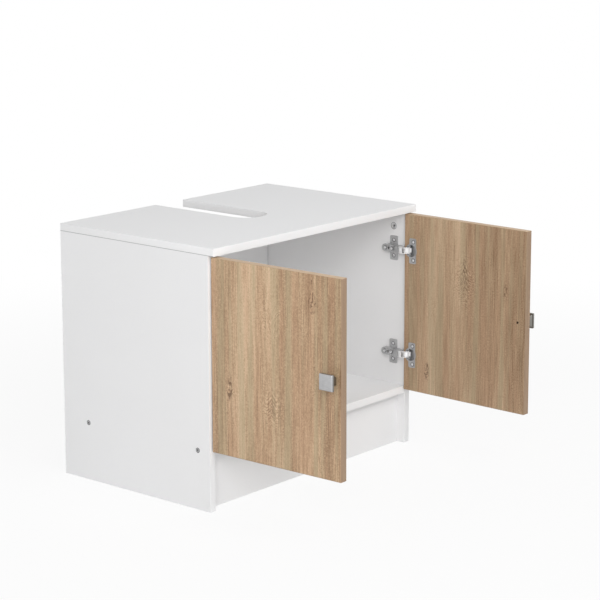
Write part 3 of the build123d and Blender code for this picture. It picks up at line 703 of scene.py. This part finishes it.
def knob_surface(name, side, settings):
    """A knob as rounded squares stacked outwards from the door.

    Each station gives the distance from the door, the half side of the square and the radius
    of its corners. The face is one flat polygon.
    """
    corner, along, outward, width = door_frame(side)
    low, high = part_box(side + "_door")
    reach, half = settings.knob_reach, settings.knob_size / 2
    plate, bevel, foot, neck = reach - 6.5 * MM, 1.7 * MM, 7.5 * MM, 8.0 * MM
    inset = half - bevel
    stations = np.array([
        # The round foot.
        (0.0, foot, 7.48 * MM),
        (1.2 * MM, foot, 7.48 * MM),
        (1.5 * MM, 7.15 * MM, 7.1 * MM),
        # The square neck, and the taper that widens to the plate.
        (1.5 * MM, neck, 1.4 * MM),
        (plate - 4.2 * MM, neck, 1.2 * MM),
        (plate - 3.8 * MM, 8.2 * MM, 1.2 * MM),
        (plate - 0.1 * MM, inset, 1.0 * MM),
        # The plate's back and its rounded rim.
        (plate, inset + 0.1 * MM, 1.0 * MM),
        (plate, half - 0.5 * MM, 0.9 * MM),
        (plate + 0.15 * MM, half - 0.15 * MM, 1.0 * MM),
        (plate + 0.5 * MM, half, 1.1 * MM),
        (reach - bevel - 0.25 * MM, half, 1.1 * MM),
        # The wide bevel round the face.
        (reach - bevel + 0.1 * MM, half - 0.15 * MM, 1.0 * MM),
        (reach - 0.22 * MM, inset + 0.12 * MM, 0.5 * MM),
        (reach - 0.04 * MM, inset - 0.12 * MM, 0.4 * MM),
        (reach, inset - 0.45 * MM, 0.3 * MM),
    ])
    rings = np.stack([square_ring(a, r, 7) for _, a, r in stations])
    away = BOARD_THICKNESS + stations[:, 0]
    centre = np.array([*(corner + along * (width - KNOB_INSET)), (low.z + high.z) / 2])
    points = (
        centre
        + rings[..., :1] * np.array([*along, 0.0])
        + rings[..., 1:] * np.array([0.0, 0.0, 1.0])
        + away[:, None, None] * np.array([*outward, 0.0])
    )
    rows, columns = points.shape[:2]
    faces = grid_faces(rows, columns, False, True).tolist()
    faces.append(list(range((rows - 1) * columns, rows * columns)))
    faces.append(list(range(columns))[::-1])
    obj = new_piece(name, points.reshape(-1, 3).tolist(), faces)
    face_outwards(obj)
    return obj


def face_outwards(obj):
    """Turns all faces of a closed mesh outwards."""
    mesh = bmesh.new()
    mesh.from_mesh(obj.data)
    bmesh.ops.remove_doubles(mesh, verts=mesh.verts, dist=1e-7)
    bmesh.ops.recalc_face_normals(mesh, faces=mesh.faces)
    mesh.to_mesh(obj.data)
    mesh.free()


def softened(node, width):
    """A copy of a pressed part, merged into flat faces, with its edges rounded by a bevel."""
    mesh = bmesh.new()
    mesh.from_mesh(frame["nodes"][node].data)
    bmesh.ops.remove_doubles(mesh, verts=mesh.verts, dist=1e-6)
    bmesh.ops.dissolve_limit(mesh, angle_limit=math.radians(0.5), verts=mesh.verts, edges=mesh.edges)
    data = bpy.data.meshes.new("soft_" + node)
    mesh.to_mesh(data)
    mesh.free()
    data.shade_smooth()
    data.set_sharp_from_angle(angle=math.radians(30))
    obj = bpy.data.objects.new("soft_" + node, data)
    bpy.context.scene.collection.objects.link(obj)
    bevel = obj.modifiers.new("rounding", "BEVEL")
    bevel.width = width
    bevel.segments = 2
    bevel.limit_method = "ANGLE"
    bevel.angle_limit = math.radians(35)
    bevel.harden_normals = True
    return obj


# ------------------------------------------------------------------ places taken from the frame
def door_frame(side):
    """The open door's hinge corner, the ways along it and out of its outer face, and its width.

    The box of a rectangle turned by the door angle gives the corner and the width.
    """
    low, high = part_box(side + "_door")
    c, s = math.cos(DOOR_ANGLE), math.sin(DOOR_ANGLE)
    width = (high.y - low.y - BOARD_THICKNESS * c) / s
    if side == "left":
        corner = np.array([high.x - width * c, high.y])
        return corner, np.array([c, -s]), np.array([-s, -c]), width
    corner = np.array([low.x + width * c, high.y])
    return corner, np.array([-c, -s]), np.array([s, -c]), width


def panel_outline(low, high, first, second):
    """The corners of a board's face, anticlockwise, in the plane of two axes."""
    return [(low[first], low[second]), (high[first], low[second]),
            (high[first], high[second]), (low[first], high[second])]


# ------------------------------------------------------------------ operators
class CabinetOperator:
    """What the cabinet's operators share."""
    bl_options = {"REGISTER", "UNDO"}

    @staticmethod
    def keep(piece, body, slot, *nodes):
        """Puts a new piece on its body and in place of its CAD nodes. The slot is not used."""
        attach(piece, body)
        if nodes:
            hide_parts(*nodes)
        return piece


class CABINET_OT_boards(CabinetOperator, bpy.types.Operator):
    """Finish the white boards and give them their edging"""
    bl_idname = "cabinet.boards"
    bl_label = "Boards"

    def execute(self, context):
        settings = context.scene.cabinet_boards
        face = melamine("white_melamine", tuple(settings.face), settings)
        edging = melamine("white_edging", tuple(settings.edging), settings, pebbled=False)
        # Boards that get a painted shadow line in their joints.
        seam_shadows = {"back_rail": rail_seam_shadow, "top_panel": top_seam_shadow}
        for name in BOARDS:
            board, strip = face, edging
            if name in seam_shadows:
                seam_shadow = seam_shadows[name]
                board = melamine(name + "_face", tuple(settings.face), settings, True, seam_shadow)
                strip = melamine(name + "_edge", tuple(settings.edging), settings, False, seam_shadow)
            dress(frame["nodes"][name], board)
            self.add_edging(name, strip, settings)
        return {"FINISHED"}

    def add_edging(self, name, material, settings):
        """The strip round one board, in the plane in which the board is widest."""
        low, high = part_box(name)
        spans = [high[i] - low[i] for i in range(3)]
        thin = spans.index(min(spans))
        first, second = [i for i in range(3) if i != thin]
        corners = panel_outline(low, high, first, second)
        radii = [BOARD_CORNER] * 4
        if name == "top_panel":
            corners, radii = self.cutout_outline(low, high)
        axes = np.eye(3)[[first, second, thin]]
        origin = np.zeros(3)
        origin[thin] = (low[thin] + high[thin]) / 2
        strip = edge_strip(name + "_edging", corners, radii, origin, axes, BOARD_THICKNESS, settings)
        dress(strip, material)
        self.keep(strip, "carcass", "white_board")

    def cutout_outline(self, low, high):
        """The top panel's outline with the cut-out from its back edge, anticlockwise."""
        inner = high.y - CUTOUT_REACH
        corners = [(low.x, low.y), (high.x, low.y), (high.x, high.y), (CUTOUT_HALF, high.y),
                   (CUTOUT_HALF, inner), (-CUTOUT_HALF, inner), (-CUTOUT_HALF, high.y),
                   (low.x, high.y)]
        return corners, [BOARD_CORNER] * 4 + [CUTOUT_BEND] * 2 + [BOARD_CORNER] * 2


class CABINET_OT_doors(CabinetOperator, bpy.types.Operator):
    """Finish the doors in oak decor and give them their edging"""
    bl_idname = "cabinet.doors"
    bl_label = "Doors"

    # Each figure: along, height, half width, half height, part, slope, ribs, tear, facing.
    FIGURES = {
        "left": (
            (0.235, 0.429, 0.007, 0.014, 0.004, 0.8, 0.5, 1.6, 1),
            (0.234, 0.452, 0.002, 0.026, 0.0, 0.0, 0.0, 1.1, 1),
            (0.144, 0.392, 0.026, 0.036, 0.003, -2.4, 0.5, 0.0, 1),
            (0.142, 0.224, 0.017, 0.032, 0.004, 1.8, 1.0, 0.34, 1),
            (0.042, 0.247, 0.006, 0.022, 0.003, 1.0, 0.3, 1.1, 1),
            (0.052, 0.238, 0.012, 0.010, 0.002, 1.0, 0.6, 0.0, 1),
            (0.150, 0.340, 0.018, 0.038, 0.004, 1.8, 1.0, 0.30, -1),
            (0.236, 0.200, 0.006, 0.022, 0.003, 0.0, 0.3, 1.0, -1),
        ),
        "right": (
            (0.151, 0.360, 0.022, 0.038, 0.004, 1.9, 1.6, 0.34, -1),
            (0.151, 0.392, 0.003, 0.018, 0.0, 0.0, 0.0, 0.8, -1),
            (0.252, 0.355, 0.006, 0.020, 0.003, 0.8, 0.4, 0.6, -1),
            (0.059, 0.163, 0.006, 0.018, 0.003, 0.8, 0.4, 1.0, -1),
            (0.120, 0.250, 0.018, 0.036, 0.004, 1.8, 1.0, 0.30, 1),
            (0.240, 0.400, 0.006, 0.022, 0.003, 0.0, 0.3, 1.0, 1),
        ),
    }

    def execute(self, context):
        settings = context.scene.cabinet_oak
        edging = oak_edging(settings)
        for side in SIDES:
            dress(frame["nodes"][side + "_door"], oak_face(side, settings, self.FIGURES[side]))
            self.add_edging(side, edging, context.scene.cabinet_boards)
        return {"FINISHED"}

    def add_edging(self, side, material, settings):
        """The strip round a door's four edges."""
        corner, along, outward, width = door_frame(side)
        low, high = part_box(side + "_door")
        corners = [(0.0, low.z), (width, low.z), (width, high.z), (0.0, high.z)]
        axes = np.array([[*along, 0.0], [0.0, 0.0, 1.0], [*outward, 0.0]])
        origin = np.array([*(corner + outward * BOARD_THICKNESS / 2), 0.0])
        strip = edge_strip(side + "_door_edging", corners, [DOOR_CORNER] * 4, origin, axes,
                           BOARD_THICKNESS, settings)
        dress(strip, material)
        self.keep(strip, side + "_door", "oak_board")


class CABINET_OT_knobs(CabinetOperator, bpy.types.Operator):
    """Make the square satin knobs and finish their screws"""
    bl_idname = "cabinet.knobs"
    bl_label = "Knobs"

    def execute(self, context):
        settings = context.scene.cabinet_metal
        # Painted shade: near black for the screws deep in the knobs' holes.
        screw = metal("blackened_screw", tuple(settings.knob_screw), 0.55, 0.00001, 0.3)
        for side in SIDES:
            knob = knob_surface(side + "_satin_knob", side, settings)
            dress(knob, satin_knob(side, settings))
            self.keep(knob, side + "_door", "knob_metal", side + "_knob")
            dress(frame["nodes"][side + "_knob_screw"], screw)
        return {"FINISHED"}


class CABINET_OT_hinges(CabinetOperator, bpy.types.Operator):
    """Finish the concealed hinges, with softly rounded pressed edges"""
    bl_idname = "cabinet.hinges"
    bl_label = "Hinges"

    def execute(self, context):
        settings = context.scene.cabinet_metal
        nickel = tuple(settings.nickel)
        plain = metal("nickel_plate", nickel, 0.36, 0.00001, 0.8)
        # Painted highlight: near white, barely metallic links.
        bright = metal("bright_zinc", tuple(settings.bright), 0.36, 0.000006, 0.25)
        plate, cup, arm = [
            metal("nickel_%s_ringed" % kind, nickel, 0.36, 0.00001, 0.8, shaded_ring(kind))
            for kind in ("plate", "cup", "arm")
        ]
        finishes = {"mounting_plate": plate, "hinge_cup": cup, "hinge_arm": arm,
                    "outer_link": bright, "inner_link": bright}
        bodies = frame["record"]["behaviour"]["bodies"]
        owner = {node: body for body, nodes in bodies.items() for node in nodes}
        for side in SIDES:
            for level in LEVELS:
                for part in HINGE_PARTS:
                    node = "_".join((side, level, part))
                    piece = softened(node, settings.softening)
                    dress(piece, finishes[part])
                    self.keep(piece, owner[node], "hinge_steel", node)
            dress(frame["nodes"][side + "_cup_pins"], plain)
        dress(frame["nodes"]["arm_pins"], plain)
        return {"FINISHED"}


class CABINET_OT_fittings(CabinetOperator, bpy.types.Operator):
    """Finish the screws, cam locks, bolts and dowels"""
    bl_idname = "cabinet.fittings"
    bl_label = "Fittings"

    def execute(self, context):
        settings = context.scene.cabinet_metal
        shade, cast = tuple(settings.zinc), tuple(settings.casting)
        zinc = metal("zinc_plate", shade, 0.33, 0.00001)
        dull = metal("dull_steel", tuple(settings.dull), 0.45, 0.00001, 1.0,
                     driver_face(JOINT_PLACES, 2.9 * MM, 0.9 * MM))
        lock = metal("zinc_casting", cast, 0.50, 0.00003, 0.8,
                     driver_face(CAM_PLACES, 5.9 * MM, 1.2 * MM))
        plate, arm, cup = [
            metal("zinc_screws_" + kind, shade, 0.28, 0.00001, 0.6, shaded_rim(kind))
            for kind in ("plate", "arm", "cup")
        ]
        finishes = {
            "connecting_screws": dull, "plate_screws": plate, "arm_screws": arm,
            "left_cup_screws": cup, "right_cup_screws": cup,
            "top_cam_bolts": zinc, "rail_cam_bolts": zinc,
            "top_cam_locks": lock,
            "rail_cam_locks": metal("zinc_casting_plain", cast, 0.50, 0.00003, 0.8),
            "wood_dowels": beech(tuple(settings.beech)),
        }
        for name, material in finishes.items():
            dress(frame["nodes"][name], material)
        return {"FINISHED"}


class CABINET_OT_stage(CabinetOperator, bpy.types.Operator):
    """Make the pale floor, the soft lamps, the white surroundings and the camera"""
    bl_idname = "cabinet.stage"
    bl_label = "Stage"

    def execute(self, context):
        settings = context.scene.cabinet_stage
        self.make_floor(settings)
        self.make_world(context.scene, settings)
        for name, place, size, power in LAMPS:
            self.make_lamp(name, place, size, getattr(settings, power))
        self.make_camera(context.scene, settings)
        context.scene.view_settings.view_transform = "Standard"
        return {"FINISHED"}

    def make_floor(self, settings):
        """A flat grid just under the cabinet.

        The camera sees it as near white with the cabinet's shadow on it, and further out as
        plain white, so that it meets the background without a line.
        """
        line = np.linspace(-FLOOR_REACH, FLOOR_REACH, 13)
        x, y = np.meshgrid(line, line, indexing="ij")
        points = np.stack([x, y, np.full_like(x, -FLOOR_DROP)], axis=-1).reshape(-1, 3)
        faces = grid_faces(line.size, line.size, False, False)[:, ::-1]
        floor = new_piece("floor", points.tolist(), faces.tolist())
        material, graph = new_material("pale_floor")
        seen = self.seen_directly(graph)
        diffuse = graph.add("ShaderNodeBsdfDiffuse", None, {"Color": opaque(settings.floor)})
        white = graph.add("ShaderNodeEmission", None, {"Color": opaque(WHITE), "Strength": 1.0})
        x, y = graph.place()[:2]
        far = (x * x + y * y).step(0.6, 4.0)
        plain = far * (1.0 - settings.floor_white) + settings.floor_white
        blend = graph.add("ShaderNodeMixShader", None,
                          [seen * plain, diffuse.outputs[0], white.outputs[0]])
        graph.add("ShaderNodeOutputMaterial", None, [blend.outputs[0]])
        dress(floor, material)

    def seen_directly(self, graph):
        """1 for a ray from the camera, or one that a mirror or glass sends on, and 0 for others."""
        path = graph.add("ShaderNodeLightPath")
        rays = [Value(graph, path.outputs[name])
                for name in ("Is Camera Ray", "Is Glossy Ray", "Is Transmission Ray")]
        return rays[0].math("MAXIMUM", rays[1]).math("MAXIMUM", rays[2])

    def make_world(self, scene, settings):
        """White for what is seen directly, and an even grey light for the rest."""
        world = bpy.data.worlds.new("studio")
        world.use_nodes = True
        scene.world = world
        graph = Graph(world.node_tree)
        seen = self.seen_directly(graph)
        strength = seen * (1.0 - settings.ambient) + settings.ambient
        light = graph.add("ShaderNodeBackground", None,
                          {"Color": opaque(WHITE), "Strength": strength})
        graph.add("ShaderNodeOutputWorld", None, [light.outputs[0]])

    def make_lamp(self, name, place, size, power):
        """A square soft lamp that looks at the middle of the cabinet."""
        data = bpy.data.lights.new(name, "AREA")
        data.energy = power
        data.size = size
        lamp = bpy.data.objects.new(name, data)
        bpy.context.scene.collection.objects.link(lamp)
        lamp.location = place
        away = Vector(place) - Vector(LAMP_TARGET)
        lamp.rotation_euler = away.to_track_quat("Z", "Y").to_euler()

    def make_camera(self, scene, settings):
        """The camera, at the photograph's viewpoint and looking down at the cabinet."""
        data = bpy.data.cameras.new("camera")
        data.lens = settings.focal
        data.sensor_width = 36.0
        data.shift_x, data.shift_y = LENS_SHIFT
        data.clip_start = 0.05
        data.clip_end = 60.0
        camera = bpy.data.objects.new("camera", data)
        scene.collection.objects.link(camera)
        camera.location = CAMERA_PLACE
        camera.rotation_euler = (math.radians(90.0 - CAMERA_DOWN), 0.0, math.radians(CAMERA_TURN))
        scene.camera = camera


class CABINET_PT_panel(bpy.types.Panel):
    """The cabinet's settings and steps"""
    bl_idname = "CABINET_PT_panel"
    bl_label = "Sink base cabinet"
    bl_space_type = "VIEW_3D"
    bl_region_type = "UI"
    bl_category = "Cabinet"

    def draw(self, context):
        for operator in OPERATORS:
            self.layout.operator(operator.bl_idname)
        for name in SETTINGS:
            group = getattr(context.scene, name)
            box = self.layout.box()
            box.label(text=name.replace("_", " "))
            for key in group.bl_rna.properties.keys():
                if key not in ("rna_type", "name"):
                    box.prop(group, key)


SETTINGS = {
    "cabinet_boards": BoardSettings,
    "cabinet_oak": OakSettings,
    "cabinet_metal": MetalSettings,
    "cabinet_stage": StageSettings,
}
OPERATORS = (CABINET_OT_boards, CABINET_OT_doors, CABINET_OT_knobs, CABINET_OT_hinges,
             CABINET_OT_fittings, CABINET_OT_stage)


def register():
    for group in SETTINGS.values():
        bpy.utils.register_class(group)
    for operator in OPERATORS:
        bpy.utils.register_class(operator)
    bpy.utils.register_class(CABINET_PT_panel)
    for name, group in SETTINGS.items():
        setattr(bpy.types.Scene, name, bpy.props.PointerProperty(type=group))


def unregister():
    for name in SETTINGS:
        delattr(bpy.types.Scene, name)
    bpy.utils.unregister_class(CABINET_PT_panel)
    for operator in reversed(OPERATORS):
        bpy.utils.unregister_class(operator)
    for group in reversed(tuple(SETTINGS.values())):
        bpy.utils.unregister_class(group)


def main():
    register()
    bpy.ops.cabinet.boards()
    bpy.ops.cabinet.doors()
    bpy.ops.cabinet.knobs()
    bpy.ops.cabinet.hinges()
    bpy.ops.cabinet.fittings()
    bpy.ops.cabinet.stage()


if __name__ == "__main__":
    main()
